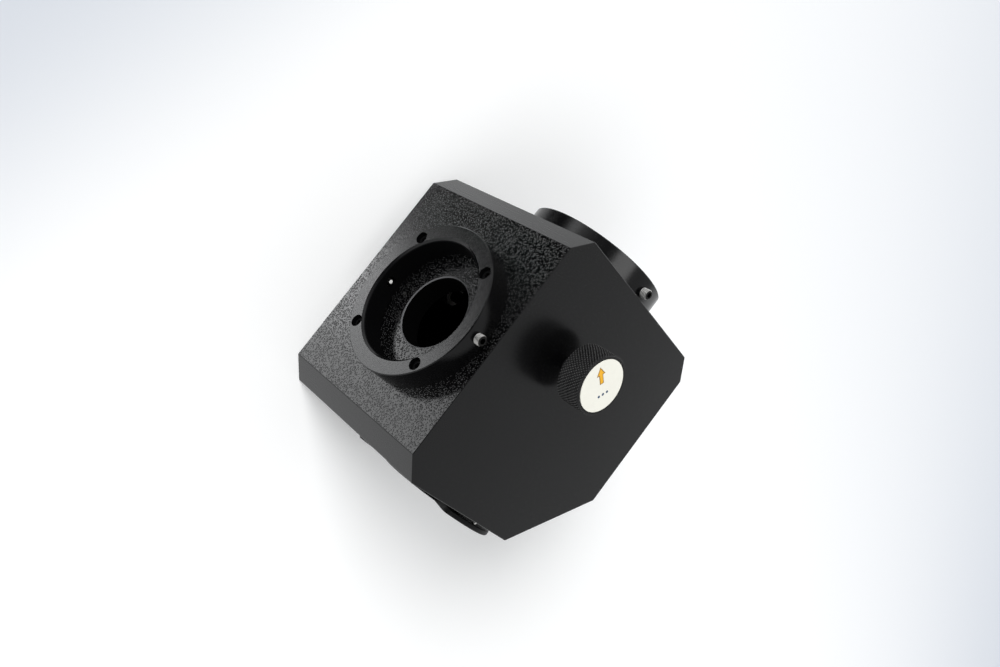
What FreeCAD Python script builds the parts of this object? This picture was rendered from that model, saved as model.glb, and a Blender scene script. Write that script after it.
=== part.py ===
import FreeCAD, Part
import math
import os

from FreeCAD import Placement, Rotation, Vector

# Two-lamp coupler for a microscope. A milled block stands between the microscope and two
# lamphouses. The rear lamp shines straight through it. The lamp at the side port shines
# onto a mirror, which hangs on an upright shaft and is turned by the knob on top. The
# mirror either sends the side light to the microscope or swings out of the straight path.
# Origin: on the base, straight below the point where the light paths cross. +Z is up
# towards the knob, +Y points to the rear lamp, -Y to the microscope, -X to the side lamp.

# Light paths
BEAM_BORE = 35.0
AXIS_HEIGHT = 58.0

# Screws, 3 mm thread
SCREW = 3.0
SCREW_BITE = 7.0
TAP_ROOM = 1.5
THREAD_GAP = 0.05
CLEARANCE_GAP = 0.2
CAP_HEAD = 5.5
CAP_HEAD_HEIGHT = 3.0
CAP_SOCKET = 2.5
CAP_SOCKET_DEPTH = 1.6
CAP_EDGE_BREAK = 0.3
HEAD_GAP = 0.15
COUNTERSUNK_HEAD = 6.0
COUNTERSUNK_SOCKET = 2.0
COUNTERSUNK_SOCKET_DEPTH = 1.0

# Housing
WALL = 12.0
TOP_WALL = 12.0
CORNER_CHAMFER = 10.0
RELIEF_CHAMFER = 40.0
EDGE_BREAK = 0.25
BORE_BREAK = 0.5
CAVITY_FILLET = 8.0
PARKED_ROOM = 8.251
CEILING_ROOM = 6.5

# Base plate, let into the underside
BASE_THICKNESS = 6.0
BASE_RIM = 4.0
BASE_GAP = 0.1
BASE_SCREW_SPREAD = 30.0
BASE_SCREW_EDGE = 10.0
BOSS_HEIGHT = 5.0
BOSS_SHOULDER = 1.0

# Port rings, one for each lamp
RING_BORE = 58.6
RING_WEB = 0.95
RING_HEIGHT = 12.0
RING_OUTER_CHAMFER = 0.4
RING_INNER_CHAMFER = 1.2
RING_SCREW_COUNT = 4
RING_SCREW_START = 45.0
COUNTERBORE_DEPTH = 5.0

# Clamp screws of the port rings, backed off behind the bore wall
CLAMP = 5.0
CLAMP_LENGTH = 10.0
CLAMP_HEIGHT = 5.2
CLAMP_POINT = 1.0
CLAMP_SOCKET = 2.5
CLAMP_SOCKET_DEPTH = 2.6
SIDE_CLAMP_BACKED_OFF = 0.5
REAR_CLAMP_BACKED_OFF = 1.5

# Bayonet flange on the microscope side
FLANGE_THREAD = 41.0
FLANGE_THREAD_LENGTH = 8.0
FLANGE_SHOULDER = 2.0
LOBE_RADIUS = 38.5
LOBE_HALF_ANGLE = 34.0
LOBE_TURN = 8.0
LOBE_GAP = 1.7
LOBE_THICKNESS = 2.5
LOBE_CORNER = 3.0
LOBE_BREAK = 0.4
INDEX_PIN = 2.0
INDEX_PIN_INSET = 3.2
INDEX_PIN_DEPTH = 4.0

# Shaft, bushes and friction spring
SHAFT = 6.0
JOURNAL = 4.0
RUNNING_GAP = 0.03
PRESS_GAP = 0.02
BUSH_WALL = 1.5
BUSH_FLANGE = 1.5
BUSH_FLANGE_WIDTH = 2.5
LOWER_BUSH_LENGTH = 8.0
JOURNAL_END_ROOM = 1.0
WASHER_THICKNESS = 0.5
WASHER_WIDTH = 3.0
WASHER_GAP = 0.3
AXIAL_PLAY = 0.1
SPRING_THICKNESS = 0.4
SPRING_HEIGHT = 1.1
SPRING_WIDTH = 3.2
CLIP_THICKNESS = 0.7
CLIP_WIDTH = 2.8
CLIP_GROOVE_DEPTH = 0.35

# Mirror and its carrier
GLASS_THICKNESS = 2.0
GLASS_MARGIN = 2.0
GLASS_SHAFT_GAP = 1.0
SHAFT_FLAT = 2.0
FLAT_RUN_OUT = 1.0
CARRIER_THICKNESS = 2.5
CARRIER_MARGIN = 4.0
CARRIER_TAIL = 3.5
CARRIER_LIP = 1.0
CARRIER_SCREW = 2.5
CARRIER_SCREW_HEAD = 4.5
CARRIER_SCREW_HEAD_HEIGHT = 1.6
CARRIER_SCREW_BITE = 3.5
CARRIER_SCREW_SPREAD = 14.0
CARRIER_SOCKET = 1.5
CARRIER_SOCKET_DEPTH = 0.9

# Stop pins under the ceiling, one for each end of the turn
IN_BEAM_ANGLE = -45.0
PARK_TURN = 75.0
STOP_PIN = 4.0
STOP_PIN_DEPTH = 8.0
STOP_GAP = 0.3
STOP_GLASS_GAP = 1.0
IN_BEAM_STOP_REACH = 40.0
PARKED_STOP_REACH = 30.0

# Knob
KNOB = 28.6
KNOB_LENGTH = 13.2
KNOB_GAP = 8.0
KNOB_CHAMFER = 0.6
KNOB_BACK_CHAMFER = 0.6
KNOB_BORE_DEPTH = 9.5
KNOB_BORE_END = 0.5
KNOB_SCREW_HEIGHT = 4.5
KNOB_SCREW_RECESS = 1.25
KNOB_SCREW_SOCKET = 1.5
KNOB_SCREW_SOCKET_DEPTH = 1.8
LABEL = 24.9
LABEL_THICKNESS = 0.4
LABEL_RECESS = 0.5
LABEL_GAP = 0.1

# How far a cutting tool runs past the face that it cuts
OVERRUN = 1.0

UP = Vector(0, 0, 1)
BEAM_RADIUS = BEAM_BORE / 2
SCREW_RADIUS = SCREW / 2
SHAFT_RADIUS = SHAFT / 2
JOURNAL_RADIUS = JOURNAL / 2

# Mirror: its reflecting face passes through the crossing of the light paths
FACE_OFFSET = GLASS_THICKNESS - SHAFT_FLAT
GLASS_START = SHAFT_RADIUS + GLASS_SHAFT_GAP
GLASS_END = 2 * BEAM_RADIUS * math.sqrt(2)
GLASS_HALF = BEAM_RADIUS + GLASS_MARGIN
CARRIER_HALF = GLASS_HALF + CARRIER_MARGIN
BEAM_CORNER = Vector(-BEAM_RADIUS, BEAM_RADIUS, 0)
SHAFT_PLACE = BEAM_CORNER + Rotation(UP, IN_BEAM_ANGLE).multVec(Vector(0, FACE_OFFSET, 0))


def mirror_point(along, behind, turn=0.0):
    """Place in plan of a point of the mirror, given along it from the shaft and behind it."""
    return SHAFT_PLACE + Rotation(UP, IN_BEAM_ANGLE + turn).multVec(Vector(along, behind, 0))


# Heights
BOSS_TOP = BASE_THICKNESS + BOSS_HEIGHT
CEILING = AXIS_HEIGHT + CARRIER_HALF + CEILING_ROOM
TOP = CEILING + TOP_WALL
WASHER_TOP = BOSS_TOP + BUSH_FLANGE + WASHER_THICKNESS
SHOULDER_HEIGHT = WASHER_TOP + AXIAL_PLAY
SPRING_BASE = CEILING - BUSH_FLANGE - AXIAL_PLAY - SPRING_HEIGHT
KNOB_BACK = TOP + KNOB_GAP
SHAFT_END = KNOB_BACK + KNOB_BORE_DEPTH - KNOB_BORE_END

# The cavity takes the parked mirror, and the block is the cavity and its walls
CAVITY_HALF_WIDTH = PARKED_ROOM - mirror_point(GLASS_END, -FACE_OFFSET, -PARK_TURN).x
HALF_WIDTH = CAVITY_HALF_WIDTH + WALL

# Port rings
COUNTERBORE = CAP_HEAD + 2 * HEAD_GAP
RING_WALL = COUNTERBORE + 2 * RING_WEB
RING_RADIUS = RING_BORE / 2 + RING_WALL
RING_SCREW_RADIUS = RING_BORE / 2 + RING_WALL / 2


def seat(out_x, out_y):
    """Placement on a side of the block at the light axis: local Z points out, local X up."""
    outward = Vector(out_x, out_y, 0)
    turned_to = Rotation(UP, outward.cross(UP), outward, "ZXY")
    return Placement(outward * HALF_WIDTH + UP * AXIS_HEIGHT, turned_to)


SIDE_SEAT = seat(-1, 0)
REAR_SEAT = seat(0, 1)
MICROSCOPE_SEAT = seat(0, -1)
MIRROR_FRAME = Placement(SHAFT_PLACE, Rotation(UP, IN_BEAM_ANGLE))


def placed(shape, placement):
    """Copy of a shape, moved by a placement."""
    return shape.transformed(placement.toMatrix(), True)


def on_shaft(shape, height=0.0, rotation=Rotation()):
    """Copy of a shape, moved onto the shaft's axis."""
    return placed(shape, Placement(SHAFT_PLACE + UP * height, rotation))


def cylinder(radius, low, high, x=0.0, y=0.0):
    """Upright cylinder between two heights."""
    return Part.makeCylinder(radius, high - low, Vector(x, y, low))


def turned(profile):
    """Solid turned about Z from (radius, height) corners."""
    corners = [Vector(radius, 0, height) for radius, height in profile]
    face = Part.Face(Part.makePolygon(corners + corners[:1]))
    return face.revolve(Vector(), UP, 360)


def prism(corners, low, high):
    """Solid with upright sides over (x, y) corners."""
    points = [Vector(x, y, low) for x, y in corners]
    face = Part.Face(Part.makePolygon(points + points[:1]))
    return face.extrude(UP * (high - low))


def hexagon(across_flats, low, high):
    """Upright six-sided prism, the shape of a key socket."""
    radius = across_flats / math.sqrt(3)
    angles = [math.radians(60 * step) for step in range(6)]
    return prism([(radius * math.cos(angle), radius * math.sin(angle)) for angle in angles], low, high)


def around(shape, count, radius, first=0.0):
    """Copies of a shape spread round Z at a radius, starting at an angle from X."""
    copies = []
    for step in range(count):
        angle = first + step * 360.0 / count
        turn = Rotation(UP, angle)
        copies.append(placed(shape, Placement(turn.multVec(Vector(radius, 0, 0)), turn)))
    return copies


def upright_edges(shape):
    """Straight edges of a shape that run along Z."""
    edges = [edge for edge in shape.Edges if isinstance(edge.Curve, Part.Line)]
    return [edge for edge in edges if abs(edge.Curve.Direction.z) > 0.99]


def cap_screw(grip):
    """Socket-head screw: the underside of its head is at height 0, its thread points down."""
    head_radius = CAP_HEAD / 2
    body = turned([
        (0, -grip - SCREW_BITE),
        (SCREW_RADIUS, -grip - SCREW_BITE),
        (SCREW_RADIUS, 0),
        (head_radius, 0),
        (head_radius, CAP_HEAD_HEIGHT - CAP_EDGE_BREAK),
        (head_radius - CAP_EDGE_BREAK, CAP_HEAD_HEIGHT),
        (0, CAP_HEAD_HEIGHT),
    ])
    return body.cut(hexagon(CAP_SOCKET, CAP_HEAD_HEIGHT - CAP_SOCKET_DEPTH, CAP_HEAD_HEIGHT + OVERRUN))


def countersunk_screw(grip):
    """Flat-head screw: the top of its head is at height 0, its thread points down."""
    cone = (COUNTERSUNK_HEAD - SCREW) / 2
    body = turned([
        (0, -grip - SCREW_BITE),
        (SCREW_RADIUS, -grip - SCREW_BITE),
        (SCREW_RADIUS, -cone),
        (COUNTERSUNK_HEAD / 2, 0),
        (0, 0),
    ])
    return body.cut(hexagon(COUNTERSUNK_SOCKET, -COUNTERSUNK_SOCKET_DEPTH, OVERRUN))


def set_screw(diameter, length, point, socket, socket_depth):
    """Headless screw with a chamfered point at height 0 and a key socket at its far end."""
    radius = diameter / 2
    end_break = point / 2
    body = turned([
        (0, 0),
        (radius - point, 0),
        (radius, point),
        (radius, length - end_break),
        (radius - end_break, length),
        (0, length),
    ])
    return body.cut(hexagon(socket, length - socket_depth, length + OVERRUN))


def outline(inset):
    """Corners of the block's plan, moved inwards by an inset."""
    half = HALF_WIDTH - inset
    shrink = inset * (2 - math.sqrt(2))
    corner = CORNER_CHAMFER - shrink
    relief = RELIEF_CHAMFER - shrink
    return [
        (corner - half, -half),
        (half - relief, -half),
        (half, relief - half),
        (half, half - corner),
        (half - corner, half),
        (corner - half, half),
        (-half, half - corner),
        (-half, corner - half),
    ]


def cavity():
    """Hollow of the block, with the cutter's round corners."""
    half = CAVITY_HALF_WIDTH
    relief = RELIEF_CHAMFER - WALL * (2 - math.sqrt(2))
    corners = [(-half, -half), (half - relief, -half), (half, relief - half), (half, half), (-half, half)]
    hollow = prism(corners, 0, CEILING)
    return hollow.makeFillet(CAVITY_FILLET, upright_edges(hollow))


def base_screw_places():
    """Two screws along each side of the base, on the middle of the ledge that carries it."""
    middle = HALF_WIDTH - (BASE_RIM + WALL) / 2
    spread = BASE_SCREW_SPREAD
    near_relief = HALF_WIDTH - RELIEF_CHAMFER - BASE_SCREW_EDGE
    return [
        (-middle, -spread),
        (-middle, spread),
        (-spread, middle),
        (spread, middle),
        (middle, spread),
        (middle, -near_relief),
        (near_relief, -middle),
        (-spread, -middle),
    ]


def tapped_hole(depth):
    """Blind hole for a screw's thread, from height 0 down."""
    return cylinder(SCREW_RADIUS + THREAD_GAP, -depth, OVERRUN)


def lamp_port_cuts():
    """What a lamp port takes out of the block: the light bore and the ring's tapped holes."""
    bore = turned([
        (0, -WALL - OVERRUN),
        (BEAM_RADIUS, -WALL - OVERRUN),
        (BEAM_RADIUS, -BORE_BREAK),
        (BEAM_RADIUS + BORE_BREAK, 0),
        (BEAM_RADIUS + BORE_BREAK, OVERRUN),
        (0, OVERRUN),
    ])
    holes = around(tapped_hole(SCREW_BITE + TAP_ROOM), RING_SCREW_COUNT, RING_SCREW_RADIUS, RING_SCREW_START)
    return [bore] + holes


def behind_upper_lobe(shape):
    """Copy of a shape, moved from the flange's axis to the middle of the upper lobe."""
    turn = Rotation(UP, -LOBE_TURN)
    return placed(shape, Placement(turn.multVec(Vector(LOBE_RADIUS - INDEX_PIN_INSET, 0, 0)), turn))


def microscope_port_cuts():
    """What the microscope port takes out: light bore, thread of the flange, index pin hole."""
    return [
        cylinder(BEAM_RADIUS, -WALL - OVERRUN, OVERRUN),
        cylinder(FLANGE_THREAD / 2 + THREAD_GAP, -FLANGE_THREAD_LENGTH, OVERRUN),
        behind_upper_lobe(cylinder(INDEX_PIN / 2 + PRESS_GAP, -INDEX_PIN_DEPTH, OVERRUN)),
    ]


def stop_places():
    """Plan places of the stop pins: behind the mirror in the beam, in front of it when parked."""
    clear = STOP_PIN / 2 + STOP_GAP
    behind = SHAFT_FLAT + CARRIER_THICKNESS + clear
    in_front = SHAFT_FLAT - clear
    return {
        "in_beam_stop": mirror_point(IN_BEAM_STOP_REACH, behind),
        "parked_stop": mirror_point(PARKED_STOP_REACH, in_front, -PARK_TURN),
    }


def make_housing():
    """Milled block, open below, with three ports, the shaft's hole and all tapped holes."""
    block = prism(outline(0), 0, TOP)
    block = block.makeChamfer(EDGE_BREAK, block.Edges)
    cuts = [cavity(), prism(outline(BASE_RIM), -OVERRUN, BASE_THICKNESS)]
    tapped_top = BASE_THICKNESS + SCREW_BITE + TAP_ROOM
    for x, y in base_screw_places():
        cuts.append(cylinder(SCREW_RADIUS + THREAD_GAP, 0, tapped_top, x, y))
    for place in (SIDE_SEAT, REAR_SEAT):
        cuts += [placed(cut, place) for cut in lamp_port_cuts()]
    cuts += [placed(cut, MICROSCOPE_SEAT) for cut in microscope_port_cuts()]
    bush_radius = SHAFT_RADIUS + BUSH_WALL + PRESS_GAP
    cuts.append(on_shaft(cylinder(bush_radius, CEILING - OVERRUN, TOP + OVERRUN)))
    pin_radius = STOP_PIN / 2 + PRESS_GAP
    for place in stop_places().values():
        cuts.append(cylinder(pin_radius, CEILING - OVERRUN, CEILING + STOP_PIN_DEPTH, place.x, place.y))
    return block.cut(cuts)


def make_base_plate():
    """Plate let into the underside, with a boss that carries the lower bush."""
    plate = prism(outline(BASE_RIM + BASE_GAP), 0, BASE_THICKNESS)
    boss_radius = JOURNAL_RADIUS + BUSH_WALL + BUSH_FLANGE_WIDTH + BOSS_SHOULDER
    plate = plate.fuse(on_shaft(cylinder(boss_radius, 0, BOSS_TOP)))
    bush_radius = JOURNAL_RADIUS + BUSH_WALL + PRESS_GAP
    hole = on_shaft(cylinder(bush_radius, -LOWER_BUSH_LENGTH, OVERRUN), BOSS_TOP)
    head_radius = COUNTERSUNK_HEAD / 2 + THREAD_GAP
    shank_radius = SCREW_RADIUS + CLEARANCE_GAP
    screw_hole = turned([
        (0, -OVERRUN),
        (head_radius, -OVERRUN),
        (head_radius, 0),
        (shank_radius, head_radius - shank_radius),
        (shank_radius, BASE_THICKNESS + OVERRUN),
        (0, BASE_THICKNESS + OVERRUN),
    ])
    holes = [placed(screw_hole, Placement(Vector(x, y, 0), Rotation())) for x, y in base_screw_places()]
    return plate.cut([hole] + holes).removeSplitter()


def make_base_screws():
    """Flat-head screws of the base plate, heads flush with its underside."""
    screw = countersunk_screw(BASE_THICKNESS)
    upside_down = Rotation(Vector(1, 0, 0), 180)
    screws = [placed(screw, Placement(Vector(x, y, 0), upside_down)) for x, y in base_screw_places()]
    return Part.makeCompound(screws)


def make_port_ring():
    """Lamp port ring: chamfered bore, sunk screw heads, two tapped holes for clamp screws."""
    bore = RING_BORE / 2
    ring = turned([
        (bore, 0),
        (RING_RADIUS, 0),
        (RING_RADIUS, RING_HEIGHT - RING_OUTER_CHAMFER),
        (RING_RADIUS - RING_OUTER_CHAMFER, RING_HEIGHT),
        (bore + RING_INNER_CHAMFER, RING_HEIGHT),
        (bore, RING_HEIGHT - RING_INNER_CHAMFER),
    ])
    head_seat = RING_HEIGHT - COUNTERBORE_DEPTH
    screw_hole = cylinder(SCREW_RADIUS + CLEARANCE_GAP, -OVERRUN, RING_HEIGHT)
    screw_hole = screw_hole.fuse(cylinder(COUNTERBORE / 2, head_seat, RING_HEIGHT + OVERRUN))
    clamp_hole = Part.makeCylinder(
        CLAMP / 2 + RUNNING_GAP,
        2 * (RING_RADIUS + OVERRUN),
        Vector(-RING_RADIUS - OVERRUN, 0, CLAMP_HEIGHT),
        Vector(1, 0, 0),
    )
    return ring.cut(around(screw_hole, RING_SCREW_COUNT, RING_SCREW_RADIUS, RING_SCREW_START) + [clamp_hole])


def make_ring_screws():
    """Cap screws that hold a port ring on the block."""
    head_seat = RING_HEIGHT - COUNTERBORE_DEPTH
    screw = placed(cap_screw(head_seat), Placement(UP * head_seat, Rotation()))
    return Part.makeCompound(around(screw, RING_SCREW_COUNT, RING_SCREW_RADIUS, RING_SCREW_START))


def make_clamp_screw(backed_off, angle):
    """Clamp screw in a port ring, its point towards the bore, at an angle from the top."""
    screw = set_screw(CLAMP, CLAMP_LENGTH, CLAMP_POINT, CLAMP_SOCKET, CLAMP_SOCKET_DEPTH)
    lying = Placement(Vector(RING_BORE / 2 + backed_off, 0, CLAMP_HEIGHT), Rotation(Vector(0, 1, 0), 90))
    return placed(placed(screw, lying), Placement(Vector(), Rotation(UP, angle)))


def flange_lobe(angle):
    """One lobe of the bayonet: a sector with round outer corners."""
    start = math.radians(angle - LOBE_HALF_ANGLE)
    middle = math.radians(angle)
    end = math.radians(angle + LOBE_HALF_ANGLE)
    rim = [Vector(math.cos(at), math.sin(at), 0) * LOBE_RADIUS for at in (start, middle, end)]
    edges = [
        Part.makeLine(Vector(), rim[0]),
        Part.Arc(rim[0], rim[1], rim[2]).toShape(),
        Part.makeLine(rim[2], Vector()),
    ]
    lobe = Part.Face(Part.Wire(edges)).extrude(UP * LOBE_THICKNESS)
    outer = [edge for edge in upright_edges(lobe) if math.hypot(edge.CenterOfMass.x, edge.CenterOfMass.y) > 1]
    return lobe.makeFillet(LOBE_CORNER, outer)


def make_microscope_flange():
    """Bayonet flange: it screws into the block, and two lobes stand behind a gap."""
    top = LOBE_GAP + LOBE_THICKNESS
    neck = FLANGE_THREAD / 2 + FLANGE_SHOULDER
    body = turned([
        (BEAM_RADIUS, -FLANGE_THREAD_LENGTH),
        (FLANGE_THREAD / 2, -FLANGE_THREAD_LENGTH),
        (FLANGE_THREAD / 2, 0),
        (neck, 0),
        (neck, top),
        (BEAM_RADIUS + LOBE_BREAK, top),
        (BEAM_RADIUS, top - LOBE_BREAK),
    ])
    rim = turned([
        (0, LOBE_GAP),
        (LOBE_RADIUS - LOBE_BREAK, LOBE_GAP),
        (LOBE_RADIUS, LOBE_GAP + LOBE_BREAK),
        (LOBE_RADIUS, top - LOBE_BREAK),
        (LOBE_RADIUS - LOBE_BREAK, top),
        (0, top),
    ])
    lift = Placement(UP * LOBE_GAP, Rotation())
    lobes = [rim.common(placed(flange_lobe(angle), lift)) for angle in (-LOBE_TURN, 180 - LOBE_TURN)]
    light = cylinder(BEAM_RADIUS + LOBE_BREAK, LOBE_GAP - OVERRUN, top + OVERRUN)
    lobes = [lobe.cut(light) for lobe in lobes]
    return body.fuse(lobes).removeSplitter()


def make_index_pin():
    """Pin in the gap behind the upper lobe, which stops the bayonet's claw."""
    return behind_upper_lobe(cylinder(INDEX_PIN / 2, -INDEX_PIN_DEPTH, LOBE_GAP))


def make_bush(bore_radius, length):
    """Plain bush with its flange on top of height 0 and its sleeve below."""
    bore = bore_radius + RUNNING_GAP
    sleeve = bore_radius + BUSH_WALL
    return turned([
        (bore, -length),
        (sleeve, -length),
        (sleeve, 0),
        (sleeve + BUSH_FLANGE_WIDTH, 0),
        (sleeve + BUSH_FLANGE_WIDTH, BUSH_FLANGE),
        (bore, BUSH_FLANGE),
    ])


def make_lower_bush():
    return on_shaft(make_bush(JOURNAL_RADIUS, LOWER_BUSH_LENGTH), BOSS_TOP)


def make_upper_bush():
    """Bush in the top wall, its flange under the ceiling and its sleeve flush with the top."""
    return on_shaft(make_bush(SHAFT_RADIUS, TOP_WALL), CEILING, Rotation(Vector(1, 0, 0), 180))


def make_thrust_washer():
    """Washer on the lower bush that carries the shaft's shoulder."""
    inner = JOURNAL_RADIUS + WASHER_GAP
    washer = cylinder(inner + WASHER_WIDTH, WASHER_TOP - WASHER_THICKNESS, WASHER_TOP)
    return on_shaft(washer.cut(cylinder(inner, 0, WASHER_TOP + OVERRUN)))


def make_shaft():
    """Mirror shaft: journal below, clip groove, and a flat that carries the mirror."""
    foot = BOSS_TOP - LOWER_BUSH_LENGTH + JOURNAL_END_ROOM
    groove = SHAFT_RADIUS - CLIP_GROOVE_DEPTH
    shaft = turned([
        (0, foot),
        (JOURNAL_RADIUS, foot),
        (JOURNAL_RADIUS, SHOULDER_HEIGHT),
        (SHAFT_RADIUS, SHOULDER_HEIGHT),
        (SHAFT_RADIUS, SPRING_BASE - CLIP_THICKNESS),
        (groove, SPRING_BASE - CLIP_THICKNESS),
        (groove, SPRING_BASE),
        (SHAFT_RADIUS, SPRING_BASE),
        (SHAFT_RADIUS, SHAFT_END),
        (0, SHAFT_END),
    ])
    flat_half = CARRIER_HALF + FLAT_RUN_OUT
    flat_corner = Vector(-SHAFT_RADIUS - OVERRUN, SHAFT_FLAT, AXIS_HEIGHT - flat_half)
    flat = Part.makeBox(SHAFT + 2 * OVERRUN, SHAFT, 2 * flat_half, flat_corner)
    return placed(shaft.cut([flat] + carrier_screw_holes(THREAD_GAP)), MIRROR_FRAME)


def carrier_screw_heights():
    """The two heights at which the carrier is screwed to the shaft."""
    return [AXIS_HEIGHT - CARRIER_SCREW_SPREAD, AXIS_HEIGHT + CARRIER_SCREW_SPREAD]


def carrier_screw_holes(gap):
    """Cuts for the carrier's screws, from behind the mirror into the shaft."""
    low = SHAFT_FLAT - CARRIER_SCREW_BITE - gap
    length = CARRIER_SCREW_BITE + CARRIER_THICKNESS + OVERRUN
    radius = CARRIER_SCREW / 2 + gap
    heights = carrier_screw_heights()
    return [Part.makeCylinder(radius, length, Vector(0, low, height), Vector(0, 1, 0)) for height in heights]


def make_carrier_screws():
    """Low-head screws through the carrier into the shaft's flat."""
    head = CARRIER_SCREW_HEAD / 2
    shank = CARRIER_SCREW / 2
    screw = turned([
        (0, -CARRIER_THICKNESS - CARRIER_SCREW_BITE),
        (shank, -CARRIER_THICKNESS - CARRIER_SCREW_BITE),
        (shank, 0),
        (head, 0),
        (head, CARRIER_SCREW_HEAD_HEIGHT),
        (0, CARRIER_SCREW_HEAD_HEIGHT),
    ])
    socket_floor = CARRIER_SCREW_HEAD_HEIGHT - CARRIER_SOCKET_DEPTH
    screw = screw.cut(hexagon(CARRIER_SOCKET, socket_floor, CARRIER_SCREW_HEAD_HEIGHT + OVERRUN))
    to_back = Rotation(Vector(1, 0, 0), -90)
    seats = [Vector(0, SHAFT_FLAT + CARRIER_THICKNESS, height) for height in carrier_screw_heights()]
    screws = [placed(screw, Placement(place, to_back)) for place in seats]
    return placed(Part.makeCompound(screws), MIRROR_FRAME)


def make_carrier():
    """Flat plate on the shaft's flat, which backs the mirror."""
    low = Vector(-CARRIER_TAIL, SHAFT_FLAT, AXIS_HEIGHT - CARRIER_HALF)
    plate = Part.makeBox(CARRIER_TAIL + GLASS_END + CARRIER_LIP, CARRIER_THICKNESS, 2 * CARRIER_HALF, low)
    return placed(plate.cut(carrier_screw_holes(THREAD_GAP)), MIRROR_FRAME)


def make_glass():
    """Front-surface mirror, cemented to the carrier."""
    low = Vector(GLASS_START, -FACE_OFFSET, AXIS_HEIGHT - GLASS_HALF)
    return placed(Part.makeBox(GLASS_END - GLASS_START, GLASS_THICKNESS, 2 * GLASS_HALF, low), MIRROR_FRAME)


def make_retaining_clip():
    """Open clip in the shaft's groove, which carries the spring."""
    inner = SHAFT_RADIUS - CLIP_GROOVE_DEPTH + PRESS_GAP
    outer = SHAFT_RADIUS + CLIP_WIDTH
    low = SPRING_BASE - CLIP_THICKNESS
    ring = cylinder(outer, low, SPRING_BASE).cut(cylinder(inner, low - OVERRUN, SPRING_BASE + OVERRUN))
    mouth_corner = Vector(0, -SHAFT_RADIUS, low - OVERRUN)
    mouth = Part.makeBox(outer + OVERRUN, SHAFT, CLIP_THICKNESS + 2 * OVERRUN, mouth_corner)
    return placed(ring.cut(mouth), MIRROR_FRAME)


def make_spring():
    """Cone-shaped spring washer that presses the shaft down and gives the knob its friction."""
    inner = SHAFT_RADIUS + CLEARANCE_GAP
    outer = inner + SPRING_WIDTH
    washer = turned([
        (outer, SPRING_BASE),
        (outer, SPRING_BASE + SPRING_THICKNESS),
        (inner, SPRING_BASE + SPRING_HEIGHT),
        (inner, SPRING_BASE + SPRING_HEIGHT - SPRING_THICKNESS),
    ])
    return on_shaft(washer)


def make_stop_pin(place):
    """Pin that hangs from the ceiling beside the carrier, above the glass."""
    foot = AXIS_HEIGHT + GLASS_HALF + STOP_GLASS_GAP
    return cylinder(STOP_PIN / 2, foot, CEILING + STOP_PIN_DEPTH, place.x, place.y)


def knob_screw_length():
    """Length of the knob's set screw, from the shaft to its recess in the rim."""
    return KNOB / 2 - KNOB_SCREW_RECESS - SHAFT_RADIUS - THREAD_GAP


def make_knob():
    """Round knob with a blind bore, a recess for its label and a radial tapped hole."""
    radius = KNOB / 2
    label_floor = KNOB_LENGTH - LABEL_RECESS
    recess = LABEL / 2 + LABEL_GAP
    knob = turned([
        (0, 0),
        (radius - KNOB_BACK_CHAMFER, 0),
        (radius, KNOB_BACK_CHAMFER),
        (radius, KNOB_LENGTH - KNOB_CHAMFER),
        (radius - KNOB_CHAMFER, KNOB_LENGTH),
        (recess, KNOB_LENGTH),
        (recess, label_floor),
        (0, label_floor),
    ])
    bore = cylinder(SHAFT_RADIUS + THREAD_GAP, -OVERRUN, KNOB_BORE_DEPTH)
    screw_base = Vector(0, 0, KNOB_SCREW_HEIGHT)
    tapped = Part.makeCylinder(SCREW_RADIUS + THREAD_GAP, radius + OVERRUN, screw_base, Vector(1, 0, 0))
    return on_shaft(knob.cut([bore, tapped]), KNOB_BACK)


def make_knob_screw():
    """Set screw that holds the knob on the shaft."""
    point = (SCREW - KNOB_SCREW_SOCKET) / 4
    screw = set_screw(SCREW, knob_screw_length(), point, KNOB_SCREW_SOCKET, KNOB_SCREW_SOCKET_DEPTH)
    lying = Placement(Vector(SHAFT_RADIUS + THREAD_GAP, 0, KNOB_SCREW_HEIGHT), Rotation(Vector(0, 1, 0), 90))
    return on_shaft(placed(screw, lying), KNOB_BACK)


def make_label():
    """Thin disc in the knob's recess."""
    return on_shaft(cylinder(LABEL / 2, 0, LABEL_THICKNESS), KNOB_BACK + KNOB_LENGTH - LABEL_RECESS)


def build_nodes():
    """Every piece of the coupler by name."""
    nodes = {
        "housing": make_housing(),
        "base_plate": make_base_plate(),
        "base_plate_screws": make_base_screws(),
        "microscope_flange": placed(make_microscope_flange(), MICROSCOPE_SEAT),
        "index_pin": placed(make_index_pin(), MICROSCOPE_SEAT),
        "lower_bush": make_lower_bush(),
        "upper_bush": make_upper_bush(),
        "thrust_washer": make_thrust_washer(),
        "mirror_shaft": make_shaft(),
        "retaining_clip": make_retaining_clip(),
        "friction_spring": make_spring(),
        "mirror_carrier": make_carrier(),
        "carrier_screws": make_carrier_screws(),
        "mirror_glass": make_glass(),
        "knob": make_knob(),
        "knob_set_screw": make_knob_screw(),
        "knob_label": make_label(),
    }
    for name, place in stop_places().items():
        nodes[name] = make_stop_pin(place)
    ports = {"side": (SIDE_SEAT, SIDE_CLAMP_BACKED_OFF), "rear": (REAR_SEAT, REAR_CLAMP_BACKED_OFF)}
    for port, (place, backed_off) in ports.items():
        nodes[port + "_ring"] = placed(make_port_ring(), place)
        nodes[port + "_ring_screws"] = placed(make_ring_screws(), place)
        for end, angle in (("top", 0), ("bottom", 180)):
            nodes[port + "_clamp_screw_" + end] = placed(make_clamp_screw(backed_off, angle), place)
    return nodes


def main():
    os.makedirs("parts", exist_ok=True)
    for name, shape in build_nodes().items():
        shape.exportStep("parts/" + name + ".step")


main()
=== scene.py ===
import math

import bmesh
import bpy
from bpy.props import FloatProperty, FloatVectorProperty, IntProperty, PointerProperty
from mathutils import Matrix, Vector


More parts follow.
